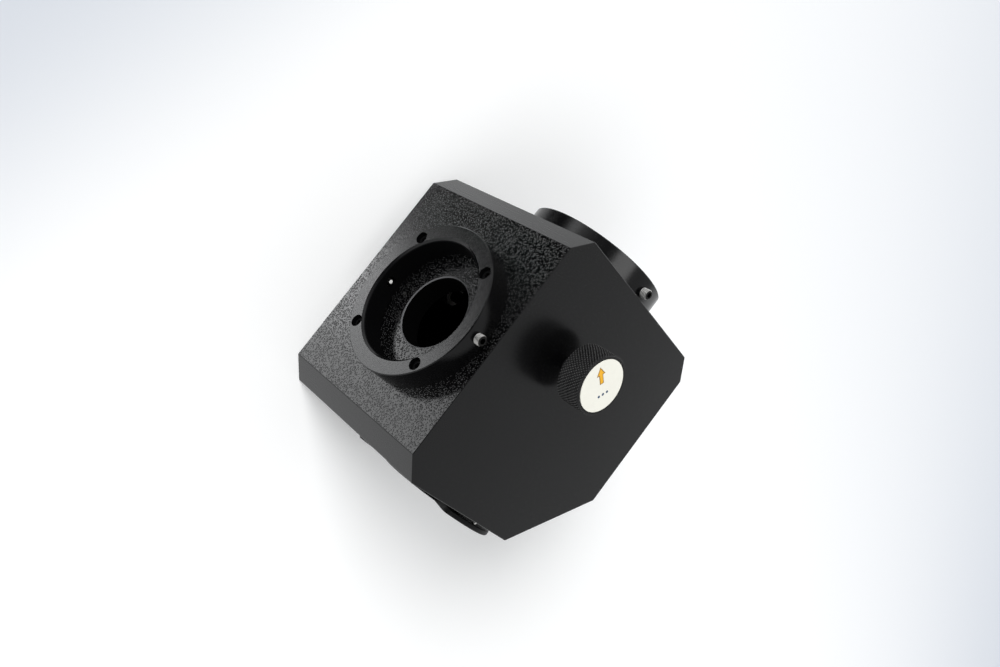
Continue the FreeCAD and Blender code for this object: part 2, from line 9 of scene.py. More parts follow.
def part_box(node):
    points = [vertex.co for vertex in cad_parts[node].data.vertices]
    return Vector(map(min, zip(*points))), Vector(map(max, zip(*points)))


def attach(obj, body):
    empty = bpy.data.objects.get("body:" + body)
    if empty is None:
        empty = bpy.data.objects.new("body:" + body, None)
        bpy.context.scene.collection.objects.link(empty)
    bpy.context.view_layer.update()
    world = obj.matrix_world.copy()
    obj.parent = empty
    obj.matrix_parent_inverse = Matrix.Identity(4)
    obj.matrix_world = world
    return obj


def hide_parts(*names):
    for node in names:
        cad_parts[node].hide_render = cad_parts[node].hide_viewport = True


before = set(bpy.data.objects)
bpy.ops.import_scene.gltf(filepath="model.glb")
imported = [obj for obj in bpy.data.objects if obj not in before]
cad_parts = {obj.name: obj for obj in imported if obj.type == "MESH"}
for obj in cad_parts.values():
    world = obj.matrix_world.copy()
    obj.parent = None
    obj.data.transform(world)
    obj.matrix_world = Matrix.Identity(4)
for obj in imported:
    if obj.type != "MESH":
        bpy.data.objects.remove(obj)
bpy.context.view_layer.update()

bl_info = {
    "name": "Lamphouse coupler dressing",
    "version": (1, 0),
    "blender": (4, 5, 0),
    "location": "View3D > Sidebar > Coupler",
    "description": "Finishes, knurled knob, label print and threaded clamp screws of a lamphouse coupler",
    "category": "Object",
}

MM = 0.001
UP = Vector((0, 0, 1))

BLOCK_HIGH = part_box("housing")[1]
KNOB_LOW, KNOB_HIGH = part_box("knob")
LABEL_LOW, LABEL_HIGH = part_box("knob_label")
SHAFT_LOW, SHAFT_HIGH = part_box("mirror_shaft")
SIDE_RING_LOW, SIDE_RING_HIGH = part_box("side_ring")
KNOB_AXIS = (KNOB_LOW + KNOB_HIGH) / 2
LIGHT_AXIS = (SIDE_RING_LOW + SIDE_RING_HIGH) / 2
CLAMP_SCREWS = [f"{port}_clamp_screw_{end}" for port in ("side", "rear") for end in ("top", "bottom")]

# Lengths of the construction that the finishes follow
WALL = 12 * MM
LONG_CHAMFER = 40 * MM
LIGHT_BORE = 17.5 * MM
RING_BORE = 29.3 * MM

MARGIN = 0.1 * MM  # how far a painted zone reaches past the surface it covers
WELD = 0.002 * MM  # vertices closer than this are one
ROUND_STEPS = 32  # sides of a round hole, dot or tip
FLOOR_REACH = 12.0
SENSOR_WIDTH = 36.0

# Surroundings: azimuth, elevation, inner and outer angle in degrees, and brightness, which is below zero
# for a dark flag. The low lamps end at an edge, the low flag begins there, and the sunk flags stay below
# the horizon.
LOW_LAMPS = ((-177, -49, 7, 15, 2.7), (173, -55, 2, 6.5, 3.6))
LOW_FLAG = (152, -54, 24, 37, -0.76)
LAMP_EDGE = (0.283, -0.907, -0.313)
SOFT_BOXES = (
    (166, -53, 1, 6.5, 0.5),
    (160, -11, 3, 12, 1.9),
    (160, 20, 4, 18, -0.3),
    (-172, 43, 10, 26, -0.34),
    (158, 48, 3, 14, -0.15),
    (14, 20, 3, 14, 0.25),
    (71, -38, 4, 12, -0.2),
)
SUNK_FLAGS = ((-85, 0, 12, 30, -0.72), (100, 0, 8, 24, -0.6))
DARKEST_SKY = 0.02


def length(name, description, default):
    """Length property in metres."""
    return FloatProperty(
        name=name,
        description=description,
        default=default,
        min=0.0,
        max=1.0,
        unit="LENGTH",
        subtype="DISTANCE",
        precision=5,
    )


def share(name, description, default):
    """Property between 0 and 1."""
    return FloatProperty(
        name=name, description=description, default=default, min=0.0, max=1.0, subtype="FACTOR"
    )


def strength(name, description, default):
    """Strength of a lamp or of the surroundings."""
    return FloatProperty(name=name, description=description, default=default, min=0.0, max=20.0)


def angle(name, description, degrees):
    """Angle property with its default in degrees."""
    return FloatProperty(name=name, description=description, default=math.radians(degrees), subtype="ANGLE")


def triple(name, description, default, **kind):
    """Property of three numbers."""
    return FloatVectorProperty(name=name, description=description, default=default, size=3, **kind)


def tint(name, description, default):
    """Colour property."""
    return triple(name, description, default, min=0.0, max=1.0, subtype="COLOR")


class CouplerCoatSettings(bpy.types.PropertyGroup):
    """Coats of the block."""

    satin: tint("Satin coat", "Smooth coat of the top and the chamfers", (0.0017, 0.0017, 0.0019))
    satin_roughness: share("Satin roughness", "Roughness of the smooth coat", 0.24)
    wrinkle: tint("Wrinkle paint", "Textured paint of the four large sides", (0.0015, 0.0015, 0.0017))
    wrinkle_pitch: length("Wrinkle pitch", "Distance between the grains of the wrinkle paint", 0.78 * MM)
    wrinkle_depth: length("Wrinkle depth", "Height of the grains of the wrinkle paint", 0.15 * MM)
    # Lighter tops of the highest grains: a painted highlight
    grain_top_highlight: tint("Worn grains", "Painted highlight on the tops of the highest grains", (0.026, 0.026, 0.027))
    inside: tint("Inside paint", "Matt paint of the cavity and the light bores", (0.0012, 0.0012, 0.0012))
    # Lighter rims of the light bores: a painted highlight
    bore_rim_highlight: tint("Bore rim highlight", "Painted highlight on the rims of the light bores", (0.085, 0.085, 0.088))


class CouplerMetalSettings(bpy.types.PropertyGroup):
    """Finishes of the metal pieces."""

    anodised: tint("Black anodised", "Turned and milled black aluminium", (0.0017, 0.0017, 0.0019))
    anodised_roughness: share("Anodised roughness", "Roughness of the black aluminium", 0.18)
    # Lighter crests of the knurl: a painted highlight
    crest_highlight: tint("Crest highlights", "Painted highlight along the crests of the knurl", (0.075, 0.074, 0.072))
    turning_pitch: length("Turning pitch", "Distance between the cutter's turned lines", 0.16 * MM)
    turning_drift: length("Turning drift", "How far a turned line wanders off its circle", 0.12 * MM)
    nickel: tint("Nickel", "Clamp screws and index pin", (0.95, 0.94, 0.91))
    steel: tint("Ground steel", "Stop pins, clip and spring", (0.52, 0.52, 0.53))
    bearing: tint("Bearing plastic", "Bushes of the shaft", (0.012, 0.012, 0.0125))
    washer: tint("Washer plastic", "Thrust washer on the shaft", (0.45, 0.45, 0.42))
    # White tips in the screws' points: a painted glint
    glint_tip: tint("Glint tip", "White tips of the clamp screws, a painted glint", (0.88, 0.88, 0.86))
    oxide: tint("Black oxide", "Socket screws and the shaft", (0.002, 0.002, 0.0022))


class CouplerKnobSettings(bpy.types.PropertyGroup):
    """Knurl of the knob."""

    knurl_count: IntProperty(
        name="Knurl count", description="Diamonds round the rim", default=60, min=12, max=120
    )
    knurl_slope: angle("Knurl slope", "Angle between the grooves and the knob's axis", 39.5)
    knurl_depth: length("Knurl depth", "Depth of the grooves between the diamonds", 0.5 * MM)
    back_chamfer: length("Back chamfer", "Chamfer of the rim towards the block", 0.6 * MM)
    front_chamfer: length("Front chamfer", "Chamfer of the rim towards the label", 0.6 * MM)
    label_recess: length("Label recess", "Depth of the recess that holds the label", 0.5 * MM)
    label_gap: length("Label gap", "Gap round the label", 0.4 * MM)
    bore_gap: length("Bore gap", "Gap round the shaft", 0.05 * MM)
    bore_depth: length("Bore depth", "Depth of the blind bore for the shaft", 9.5 * MM)
    screw_hole: length("Screw hole", "Diameter of the set screw's hole", 3.1 * MM)


class CouplerLabelSettings(bpy.types.PropertyGroup):
    """Print on the label."""

    film: tint("Label film", "Cream ground of the label", (0.94, 0.93, 0.84))
    arrow: tint("Arrow", "Body of the arrow", (0.95, 0.48, 0.01))
    arrow_edge: tint("Arrow outline", "Dark outline of the arrow", (0.28, 0.14, 0.01))
    dots: tint("Dots", "Plain dots beside the arrow", (0.045, 0.085, 0.16))
    arrow_length: length("Arrow length", "From its tail to its tip", 7.7 * MM)
    head_length: length("Head length", "Length of the arrow's head", 3.1 * MM)
    head_width: length("Head width", "Width of the arrow's head", 3.5 * MM)
    stem_width: length("Stem width", "Width of the arrow's stem", 1.5 * MM)
    outline_width: length("Outline width", "Width of the dark outline", 0.38 * MM)
    arrow_start: length("Arrow start", "From the label's middle to the arrow's tail", 1.55 * MM)
    dot_row: length("Dot row", "From the label's middle back to the row of dots", 4.6 * MM)
    dot_size: length("Dot size", "Diameter of a dot", 1.3 * MM)
    dot_spacing: length("Dot spacing", "Distance between the dots", 2.4 * MM)
    ink: length("Ink thickness", "Thickness of the print", 0.03 * MM)
    direction: angle("Direction", "Where the arrow points, from the X axis", 150)


class CouplerClampSettings(bpy.types.PropertyGroup):
    """Thread and socket of the clamp screws."""

    pitch: length("Thread pitch", "Distance between two threads", 0.8 * MM)
    thread_depth: length("Thread depth", "Depth of the thread", 0.45 * MM)
    point: length("Point", "Chamfer of the point", 1.0 * MM)
    end_chamfer: length("End chamfer", "Chamfer beside the socket", 0.5 * MM)
    socket: length("Socket", "Width of the key socket across its flats", 2.5 * MM)
    socket_depth: length("Socket depth", "Depth of the key socket", 2.6 * MM)
    # The white tip in the point is a painted glint
    tip: length("Tip", "Diameter of the white tip, a painted glint, in the point", 2.0 * MM)
    tip_reach: length("Tip reach", "How far the white tip, a painted glint, stands out of the point", 0.15 * MM)


class CouplerStageSettings(bpy.types.PropertyGroup):
    """Floor, lamps and camera."""

    floor: tint("Floor", "Colour of the floor", (0.925, 0.93, 0.93))
    # Grey of the far floor: a painted shade
    floor_far: tint("Far floor", "Colour of the floor towards the picture's corners", (0.60, 0.63, 0.68))
    floor_lift: share("Floor lift", "Extra light of the floor as the camera sees it", 0.14)
    key: strength("Key lamp", "Strength of the soft overhead lamp, which shows in reflections only", 0.7)
    key_softness: angle("Key softness", "Width of the key and fill lamps as the object sees them", 34)
    key_from: triple("Key direction", "Where the key lamp stands", (-0.131, 0.28, 0.951))
    side: strength("Side lamp", "Strength of the low lamp that throws the shadow", 3.1)
    side_softness: angle("Side softness", "Width of the side lamp as the object sees it", 30)
    side_from: triple("Side direction", "Where the side lamp stands", (-0.813, 0.345, 0.469))
    fill: strength("Fill lamp", "Strength of the lamp that lightens the shadow", 0.55)
    fill_from: triple("Fill direction", "Where the fill lamp stands", (-0.22, -0.6, 0.77))
    sky_low: strength("Low surroundings", "Brightness of the surroundings up to just above the horizon", 0.8)
    sky_high: strength("High surroundings", "Brightness of the surroundings overhead", 0.42)
    sky_tint: tint("Surroundings", "Colour of the surroundings", (0.98, 0.99, 1.0))
    camera: triple(
        "Camera", "Place of the camera", (-0.319019, -0.027728, 0.344017), subtype="XYZ", unit="LENGTH"
    )
    camera_turn: triple(
        "Camera turn",
        "Euler angles of the camera",
        (math.radians(-29.172), math.radians(-37.8684), math.radians(50.0329)),
        subtype="EULER",
    )
    lens: FloatProperty(
        name="Lens", description="Focal length in millimetres", default=31.7115, min=1.0, max=300.0
    )


SETTINGS = {
    "coupler_coat": CouplerCoatSettings,
    "coupler_metal": CouplerMetalSettings,
    "coupler_knob": CouplerKnobSettings,
    "coupler_label": CouplerLabelSettings,
    "coupler_clamp": CouplerClampSettings,
    "coupler_stage": CouplerStageSettings,
}


# Materials


class Pattern:
    """Nodes of a material or of the surroundings."""

    def __init__(self, tree, place):
        self.tree = tree
        self.coordinates = self.node("ShaderNodeTexCoord")
        self.place = self.coordinates.outputs[place]

    def node(self, kind, **values):
        made = self.tree.nodes.new(kind)
        for key, value in values.items():
            setattr(made, key, value)
        return made

    def wire(self, source, target):
        self.tree.links.new(source, target)

    def calc(self, operation, first, second=None, third=None, clamp=False):
        """Result of a Math node on sockets or numbers."""
        made = self.node("ShaderNodeMath", operation=operation, use_clamp=clamp)
        for socket, value in zip(made.inputs, (first, second, third)):
            if isinstance(value, bpy.types.NodeSocket):
                self.wire(value, socket)
            elif value is not None:
                socket.default_value = value
        return made.outputs[0]

    def centred(self, centre, scale=(1, 1, 1)):
        """Coordinates moved so that a point is the origin, then scaled."""
        made = self.node("ShaderNodeMapping", vector_type="TEXTURE")
        made.inputs["Location"].default_value = centre
        made.inputs["Scale"].default_value = scale
        self.wire(self.place, made.inputs["Vector"])
        return made.outputs[0]

    def parts(self, vector):
        made = self.node("ShaderNodeSeparateXYZ")
        self.wire(vector, made.inputs[0])
        return made.outputs

    def distance(self, first, second):
        """Distance from an axis, out of the two coordinates across it."""
        squares = [self.calc("POWER", value, 2.0) for value in (first, second)]
        return self.calc("SQRT", self.calc("ADD", *squares))

    def along(self, vector, direction):
        """How far a vector points in a direction."""
        made = self.node("ShaderNodeVectorMath", operation="DOT_PRODUCT")
        self.wire(vector, made.inputs[0])
        made.inputs[1].default_value = direction
        return made.outputs["Value"]

    def noise(self, size, detail=3.0, vector=None):
        """Noise whose patches have a given size in metres."""
        made = self.node("ShaderNodeTexNoise")
        made.inputs["Scale"].default_value = 1 / size
        made.inputs["Detail"].default_value = detail
        made.inputs["Roughness"].default_value = 0.55
        self.wire(vector or self.place, made.inputs["Vector"])
        return made.outputs["Fac"]

    def ramp(self, value, low, high, start=0.0, end=1.0):
        """Value spread smoothly from one range to another."""
        made = self.node("ShaderNodeMapRange", interpolation_type="SMOOTHSTEP")
        self.wire(value, made.inputs["Value"])
        made.inputs["From Min"].default_value = low
        made.inputs["From Max"].default_value = high
        made.inputs["To Min"].default_value = start
        made.inputs["To Max"].default_value = end
        return made.outputs["Result"]

    def blend(self, factor, first, second):
        """Colour mixed from two colours or sockets."""
        made = self.node("ShaderNodeMix", data_type="RGBA")
        self.wire(factor, made.inputs["Factor"])
        for name, value in (("A", first), ("B", second)):
            socket = [item for item in made.inputs if item.name == name and item.type == "RGBA"][0]
            if isinstance(value, bpy.types.NodeSocket):
                self.wire(value, socket)
            else:
                socket.default_value = (*value[:3], 1)
        return [item for item in made.outputs if item.type == "RGBA"][0]


class Finish(Pattern):
    """A material whose pattern lies on the piece's own coordinates."""

    def __init__(self, name, color, roughness, metallic=0.0):
        self.material = bpy.data.materials.new(name)
        self.material.use_nodes = True
        self.material.diffuse_color = (*color, 1)
        super().__init__(self.material.node_tree, "Object")
        self.shader = self.tree.nodes["Principled BSDF"]
        self.shader.inputs["Base Color"].default_value = (*color, 1)
        self.shader.inputs["Roughness"].default_value = roughness
        self.shader.inputs["Metallic"].default_value = metallic

    def paint(self, socket):
        self.wire(socket, self.shader.inputs["Base Color"])

    def rough(self, socket):
        self.wire(socket, self.shader.inputs["Roughness"])

    def reflect(self, value):
        """Strength of the mirror-like part, the same all over or from a socket."""
        level = self.shader.inputs["Specular IOR Level"]
        if isinstance(value, bpy.types.NodeSocket):
            self.wire(value, level)
        else:
            level.default_value = value

    def bump(self, height, depth):
        """Relief whose height of 1 is a given depth in metres."""
        made = self.node("ShaderNodeBump")
        made.inputs["Distance"].default_value = depth
        self.wire(height, made.inputs["Height"])
        self.wire(made.outputs["Normal"], self.shader.inputs["Normal"])


def shade(color, factor):
    """Colour made lighter or darker."""
    return tuple(min(1.0, part * factor) for part in color[:3])


def scuffs(finish, color, light, dark):
    """Colour with faint clouds and tiny light marks."""
    clouds = finish.ramp(finish.noise(18 * MM, 4.0), 0.35, 0.7)
    toned = finish.blend(clouds, shade(color, dark), shade(color, light))
    marks = finish.ramp(finish.noise(0.55 * MM, 1.0), 0.735, 0.79)
    return finish.blend(marks, toned, shade(color, 2.6))


def block_coat(coat):
    """Satin coat on the top and chamfers, wrinkle paint on the large sides, matt paint inside."""
    finish = Finish("block_coat", coat.satin, coat.satin_roughness)
    x, y, z = finish.parts(finish.place)
    across, deep = finish.calc("ABSOLUTE", x), finish.calc("ABSOLUTE", y)
    reach = finish.calc("MAXIMUM", across, deep)
    half, skin = BLOCK_HIGH.x, 0.06 * MM
    sides = finish.calc("GREATER_THAN", reach, half - skin)

    # Matt inside: the cavity between walls, roof and foot, and the light bores of both lamp ports
    wall = WALL - MARGIN
    clear = finish.calc("LESS_THAN", finish.calc("SUBTRACT", x, y), 2 * half - LONG_CHAMFER - 2 * MM)
    inside = finish.calc("MULTIPLY", clear, finish.calc("LESS_THAN", reach, half - wall))
    under_roof = finish.calc("LESS_THAN", z, BLOCK_HIGH.z - wall)
    above_foot = finish.calc("GREATER_THAN", z, MARGIN)
    cavity = finish.calc("MULTIPLY", inside, finish.calc("MULTIPLY", under_roof, above_foot))
    rise = finish.calc("SUBTRACT", z, LIGHT_AXIS.z)
    bore_radius = finish.distance(finish.calc("MINIMUM", across, deep), rise)
    port_side = finish.calc("LESS_THAN", x, half - WALL - 1 * MM)
    in_bore = finish.calc("LESS_THAN", bore_radius, LIGHT_BORE + MARGIN)
    painted = finish.calc("MAXIMUM", cavity, finish.calc("MULTIPLY", port_side, in_bore))

    # Lighter rims where the light bores meet the outer faces: a painted highlight
    rim_depth, rim_width = 0.55 * MM, 0.45 * MM
    edge = finish.calc("MULTIPLY", port_side, finish.calc("GREATER_THAN", reach, half - rim_depth))
    rims = finish.calc("MULTIPLY", edge, finish.calc("LESS_THAN", bore_radius, LIGHT_BORE + rim_width))

    # Grains: round cells whose places are pushed about by noise
    push_size, push_reach, fine_relief = 1.7 * MM, 0.6 * MM, 0.12
    push = finish.node("ShaderNodeTexNoise")
    push.inputs["Scale"].default_value = 1 / push_size
    finish.wire(finish.place, push.inputs["Vector"])
    shift = finish.node("ShaderNodeVectorMath", operation="MULTIPLY_ADD")
    finish.wire(push.outputs["Color"], shift.inputs[0])
    shift.inputs[1].default_value = (push_reach,) * 3
    finish.wire(finish.place, shift.inputs[2])
    cells = finish.node("ShaderNodeTexVoronoi", feature="SMOOTH_F1")
    cells.inputs["Scale"].default_value = 1 / coat.wrinkle_pitch
    cells.inputs["Smoothness"].default_value = 0.35
    finish.wire(shift.outputs[0], cells.inputs["Vector"])
    domes = finish.ramp(cells.outputs["Distance"], 0.05, 0.5, 1.0, 0.0)
    grain = finish.calc("MULTIPLY_ADD", finish.noise(0.5 * MM, 2.0), fine_relief, domes)

    # Satin: lines drawn along Z, much fainter than the grains
    stretch, line_relief = 60, 0.05
    drawn = finish.noise(0.3 * MM, vector=finish.centred((0, 0, 0), scale=(1, 1, stretch)))
    height = finish.node("ShaderNodeMix", data_type="FLOAT")
    finish.wire(sides, height.inputs[0])
    finish.wire(finish.calc("MULTIPLY", drawn, line_relief), height.inputs[2])
    finish.wire(grain, height.inputs[3])
    finish.bump(height.outputs[0], coat.wrinkle_depth)

    # Colour: the grains are painted darker between them as shade and lighter on their tops as highlight, and
    # patches of the highest tops get a further painted highlight
    top = scuffs(finish, coat.satin, 1.12, 0.9)
    grain_shade_and_highlight = finish.blend(domes, shade(coat.wrinkle, 0.5), shade(coat.wrinkle, 1.25))
    patches = finish.ramp(finish.noise(1.4 * MM, 2.0), 0.42, 0.58)
    tops = finish.calc("MULTIPLY", finish.ramp(domes, 0.6, 0.9), patches)
    outside = finish.blend(sides, top, finish.blend(tops, grain_shade_and_highlight, coat.grain_top_highlight))
    # The bore rims get their painted highlight over the outside coat and the matt inside
    finish.paint(finish.blend(rims, finish.blend(painted, outside, coat.inside), coat.bore_rim_highlight))

    # Gloss: higher on the tops of the grains, and nearly none on the matt inside
    crests = finish.calc("MULTIPLY", sides, finish.ramp(domes, 0.0, 0.5, -0.08, 0.48))
    gloss = finish.calc("MULTIPLY_ADD", painted, -0.45, finish.calc("ADD", crests, 0.5), clamp=True)
    finish.reflect(gloss)
    base = coat.satin_roughness
    streaks = finish.ramp(drawn, 0.3, 0.75, base - 0.03, base + 0.04)
    grainy = finish.calc("ADD", finish.calc("MULTIPLY", sides, -0.11), streaks)
    finish.rough(finish.calc("MULTIPLY_ADD", painted, 0.6, grainy, clamp=True))
    return finish.material


def anodised(metal, name, centre, axis, lines=1.0, shine=0.5, matt=0.0, bore=None, crest=None):
    """Black aluminium with lines turned about an axis, dull inside a bore, and lighter at a crest's radius as
    a painted highlight.
    """
    finish = Finish(name, metal.anodised, metal.anodised_roughness)
    parts = list(finish.parts(finish.centred(centre)))
    along = parts.pop("XYZ".index(axis))
    radius = finish.distance(*parts)
    drift = finish.calc("MULTIPLY", finish.noise(3 * MM, 2.0), metal.turning_drift)
    travel = finish.calc("ADD", finish.calc("ADD", radius, along), drift)
    wave = finish.calc("SINE", finish.calc("MULTIPLY", travel, math.tau / metal.turning_pitch))
    fine = finish.noise(0.2 * MM, 2.0)
    finish.bump(finish.calc("MULTIPLY_ADD", wave, 0.4 * lines, fine), 0.003 * MM)
    coat = scuffs(finish, metal.anodised, 1.15, 0.85)
    # Lighter towards the crest's radius: a painted highlight
    if crest:
        coat = finish.blend(finish.ramp(radius, crest - 0.16 * MM, crest - 0.02 * MM), coat, metal.crest_highlight)
    finish.paint(coat)
    base = metal.anodised_roughness + matt
    rough = finish.ramp(finish.noise(1.2 * MM), 0.3, 0.7, base - 0.02, base + 0.03)
    if bore:
        inner = finish.calc("LESS_THAN", radius, bore)
        rough = finish.calc("MULTIPLY_ADD", inner, 0.35, rough)
        shine = finish.calc("MULTIPLY_ADD", inner, 0.08 - shine, shine)
    finish.reflect(shine)
    finish.rough(rough)
    return finish.material


def plated(name, color, roughness, grain=0.3 * MM, thread=None):
    """Bare or plated metal with fine grinding and a few stains, and painted shade in the valleys of an
    upright thread.
    """
    finish = Finish(name, color, roughness, metallic=1.0)
    stains = finish.ramp(finish.noise(2.2 * MM, 4.0), 0.35, 0.75)
    toned = finish.blend(stains, color, shade(color, 0.8))
    # The thread's valleys are painted nearly black: painted shade
    if thread:
        centre, crest, depth = thread
        x, y, _ = finish.parts(finish.centred(centre))
        out_of_valley = finish.ramp(finish.distance(x, y), crest - 0.85 * depth, crest - 0.35 * depth)
        toned = finish.blend(out_of_valley, shade(color, 0.04), toned)
    finish.paint(toned)
    finish.rough(finish.ramp(finish.noise(grain), 0.3, 0.7, roughness * 0.75, roughness * 1.35))
    finish.bump(finish.noise(0.12 * MM, 2.0), 0.003 * MM)
    return finish.material


def black_oxide(metal):
    """Socket screws: dark oxide, oily, lighter where the key has rubbed."""
    finish = Finish("black_oxide", metal.oxide, 0.5)
    finish.reflect(0.15)
    rubbed = finish.ramp(finish.noise(1.1 * MM, 5.0), 0.55, 0.8)
    finish.paint(finish.blend(rubbed, metal.oxide, shade(metal.oxide, 1.8)))
    finish.rough(finish.ramp(finish.noise(0.7 * MM), 0.3, 0.7, 0.42, 0.62))
    finish.bump(finish.noise(0.15 * MM, 2.0), 0.004 * MM)
    return finish.material


def mirror_coat():
    """Front-surface mirror: a bright coat on the face; the edges and back near-black as painted shade."""
    # The near-black of the edges and back is painted shade
    bright, shade_black = (0.93, 0.935, 0.94), (0.008, 0.009, 0.009)
    finish = Finish("mirror_coat", bright, 0.02, metallic=1.0)
    face = Vector((-1, -1, 0)).normalized()
    coated = finish.ramp(finish.along(finish.coordinates.outputs["Normal"], face), 0.85, 0.95)
    haze = finish.ramp(finish.noise(6 * MM, 5.0), 0.45, 0.85, 0.0, 0.05)
    finish.paint(finish.blend(coated, shade_black, bright))
    finish.wire(coated, finish.shader.inputs["Metallic"])
    finish.rough(finish.calc("ADD", haze, finish.calc("MULTIPLY_ADD", coated, -0.63, 0.65), clamp=True))
    return finish.material


def plain_film(name, color, roughness=0.3):
    """Printed film: a nearly even colour under a thin gloss."""
    finish = Finish(name, color, roughness)
    clouds = finish.ramp(finish.noise(3.5 * MM, 4.0), 0.3, 0.75)
    specks = finish.ramp(finish.noise(0.16 * MM, 2.0), 0.3, 0.75)
    toned = finish.blend(clouds, color, shade(color, 0.965))
    finish.paint(finish.blend(finish.calc("MULTIPLY", specks, 0.25), toned, shade(color, 0.93)))
    finish.rough(finish.ramp(clouds, 0.0, 1.0, roughness, roughness + 0.08))
    finish.bump(finish.noise(0.4 * MM), 0.002 * MM)
    finish.shader.inputs["Coat Weight"].default_value = 0.25
    finish.shader.inputs["Coat Roughness"].default_value = 0.2
    return finish.material


def soft_plastic(name, color):
    """Low-friction plastic of the washer and the bushes, and the white of the painted glint on the screws'
    tips.
    """
    finish = Finish(name, color, 0.5)
    clouds = finish.noise(1.5 * MM)
    finish.paint(finish.blend(clouds, shade(color, 0.9), color))
    finish.rough(finish.ramp(clouds, 0.3, 0.7, 0.42, 0.6))
    finish.bump(finish.noise(0.3 * MM, 2.0), 0.01 * MM)
    return finish.material


# Pieces


def dress(node, material):
    """Gives a node of the frame its finish."""
    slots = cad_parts[node].data.materials
    slots.clear()
    slots.append(material)


def add_piece(name, shape, body, material, smooth=None):
    """Turns a bmesh in place into a piece that rides on a body."""
    mesh = bpy.data.meshes.new(name)
    shape.to_mesh(mesh)
    shape.free()
    mesh.materials.append(material)
    if smooth is not None:
        mesh.shade_smooth()
        mesh.set_sharp_from_angle(angle=smooth)
    piece = bpy.data.objects.new(name, mesh)
    bpy.context.scene.collection.objects.link(piece)
    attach(piece, body)
    return piece


def spun(profile, steps):
    """Turned shape about Z from (radius, height) corners."""
    shape = bmesh.new()
    points = [shape.verts.new((radius, 0, height)) for radius, height in profile]
    edges = [shape.edges.new(pair) for pair in zip(points, points[1:])]
    bmesh.ops.spin(
        shape,
        geom=points + edges,
        axis=UP,
        cent=(0, 0, 0),
        dvec=(0, 0, 0),
        angle=math.tau,
        steps=steps,
        use_merge=True,
    )
    bmesh.ops.remove_doubles(shape, verts=shape.verts, dist=WELD / 2)
    bmesh.ops.recalc_face_normals(shape, faces=shape.faces)
    return shape


def add_round(shape, radius, depth, place, low_radius=None):
    """Adds a disc or a cone to a bmesh, centred on the place."""
    bmesh.ops.create_cone(
        shape,
        cap_ends=True,
        segments=ROUND_STEPS,
        radius1=radius if low_radius is None else low_radius,
        radius2=radius,
        depth=depth,
        matrix=place,
    )


def tooth(value):
    """Height between 0 in a groove and 1 on a ridge, one groove for each whole number."""
    return 1 - abs(2 * (value - math.floor(value)) - 1)


def knurled_knob(knob):
    """Knob with a diamond knurl, its axis on Z and its back at height 0."""
    radius = (KNOB_HIGH.x - KNOB_LOW.x) / 2
    height = KNOB_HIGH.z - KNOB_LOW.z
    label = (LABEL_HIGH.x - LABEL_LOW.x) / 2 + knob.label_gap
    bore = (SHAFT_HIGH.x - SHAFT_LOW.x) / 2 + knob.bore_gap
    band_low = knob.back_chamfer
    band_high = height - knob.front_chamfer
    steps_a_diamond = 6
    steps = knob.knurl_count * steps_a_diamond
    rows = round((band_high - band_low) / (math.tau * radius / steps))
    band = [(radius, band_low + (band_high - band_low) * row / rows) for row in range(rows + 1)]
    recess = height - knob.label_recess
    back = [(0, knob.bore_depth), (bore, knob.bore_depth), (bore, 0), (radius - knob.back_chamfer, 0)]
    front = [(radius - knob.front_chamfer, height), (label, height), (label, recess), (0, recess)]
    shape = spun(back + band + front, steps)

    flattened = 1.3  # above 1, a diamond reaches its full height before its middle and has a flat top
    rim = radius - 0.01 * MM
    rise = math.tau * radius / knob.knurl_count / math.tan(knob.knurl_slope)
    for vert in shape.verts:
        if vert.co.xy.length < rim:
            continue
        turn = math.atan2(vert.co.y, vert.co.x) * knob.knurl_count / math.tau
        climb = (vert.co.z - band_low) / rise
        diamond = min(tooth(turn + climb), tooth(turn - climb))
        vert.co.xy *= 1 - knob.knurl_depth * (1 - min(1.0, diamond * flattened)) / radius
    return shape


def drill(piece, centre, radius, depth, direction):
    """Cuts a round hole into a piece."""
    tool = bmesh.new()
    turn = UP.rotation_difference(direction).to_matrix().to_4x4()
    add_round(tool, radius, depth, Matrix.Translation(centre) @ turn)
    mesh = bpy.data.meshes.new("drill")
    tool.to_mesh(mesh)
    tool.free()
    cutter = bpy.data.objects.new("drill", mesh)
    bpy.context.scene.collection.objects.link(cutter)
    cut = piece.modifiers.new("Hole", "BOOLEAN")
    cut.operation = "DIFFERENCE"
    cut.solver = "EXACT"
    cut.object = cutter
    bpy.context.view_layer.objects.active = piece
    with bpy.context.temp_override(object=piece, active_object=piece, selected_objects=[piece]):
        bpy.ops.object.modifier_apply(modifier=cut.name)
    bpy.data.objects.remove(cutter)


def arrow_corners(label, grow):
    """Corners of the arrow in its own plane, tail at the origin, tip along X."""
    tip = label.arrow_length
    neck = tip - label.head_length
    half_stem = label.stem_width / 2
    half_head = label.head_width / 2
    slope = math.hypot(half_head, label.head_length) / half_head
    side = half_stem + grow
    barb = half_head + 1.8 * grow
    return [
        (-grow, -side),
        (neck - grow, -side),
        (neck - grow, -barb),
        (tip + slope * grow, 0),
        (neck - grow, barb),
        (neck - grow, side),
        (-grow, side),
    ]


def corners_of(parts):
    """Vertices among the parts of a bmesh."""
    return [item for item in parts if isinstance(item, bmesh.types.BMVert)]


def flat_print(corners, thickness, place):
    """Thin raised print from the corners of its outline."""
    shape = bmesh.new()
    points = [shape.verts.new((x, y, 0)) for x, y in corners]
    face = shape.faces.new(points)
    raised = bmesh.ops.extrude_face_region(shape, geom=[face])["geom"]
    bmesh.ops.translate(shape, verts=corners_of(raised), vec=(0, 0, thickness))
    bmesh.ops.transform(shape, matrix=place, verts=shape.verts)
    bmesh.ops.recalc_face_normals(shape, faces=shape.faces)
    return shape


